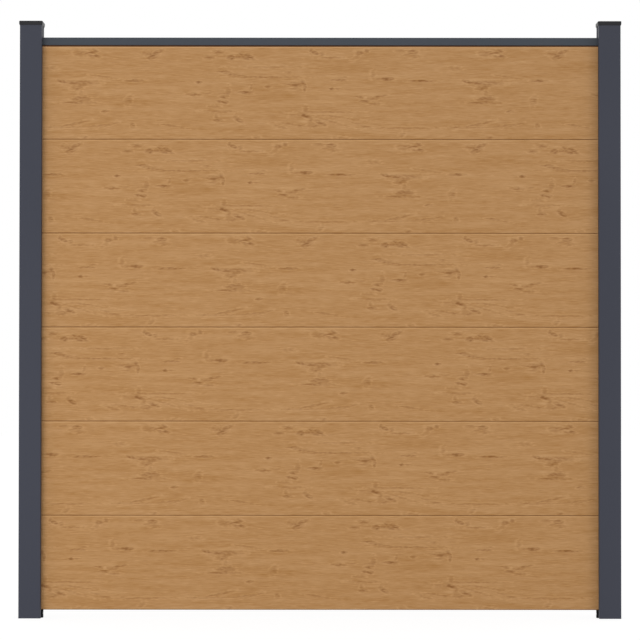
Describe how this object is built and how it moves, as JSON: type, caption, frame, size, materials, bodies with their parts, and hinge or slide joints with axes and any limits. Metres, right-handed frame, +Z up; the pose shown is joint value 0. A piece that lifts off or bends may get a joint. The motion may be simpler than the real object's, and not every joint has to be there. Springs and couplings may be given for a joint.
{
  "type": "fence panel",
  "caption": "Tall privacy fence panel: square grooved posts with flat caps hold stacked tongue-and-groove planks with a knotty wood print under a slim top rail.",
  "frame": {"origin": "the middle of the panel's width and depth, on the ground under the post feet", "axes": "+X along the panel to the right as seen from the front, +Y to the back, +Z up; the front faces -Y"},
  "size_m": [1.9202, 0.0752, 1.9015],
  "materials": {
    "post": "matte",
    "cap": "satin",
    "plank": "matte",
    "stop": "matte",
    "screw": "satin"
  },
  "bodies": {
    "root": {"left_post": "post", "right_post": "post", "top_rail": "post", "left_cap": "cap", "right_cap": "cap", "plank_1": "plank", "plank_2": "plank", "plank_3": "plank", "plank_4": "plank", "plank_5": "plank", "plank_6": "plank", "left_stop": "stop", "right_stop": "stop", "stop_screws": "screw"}
  },
  "joints": []
}
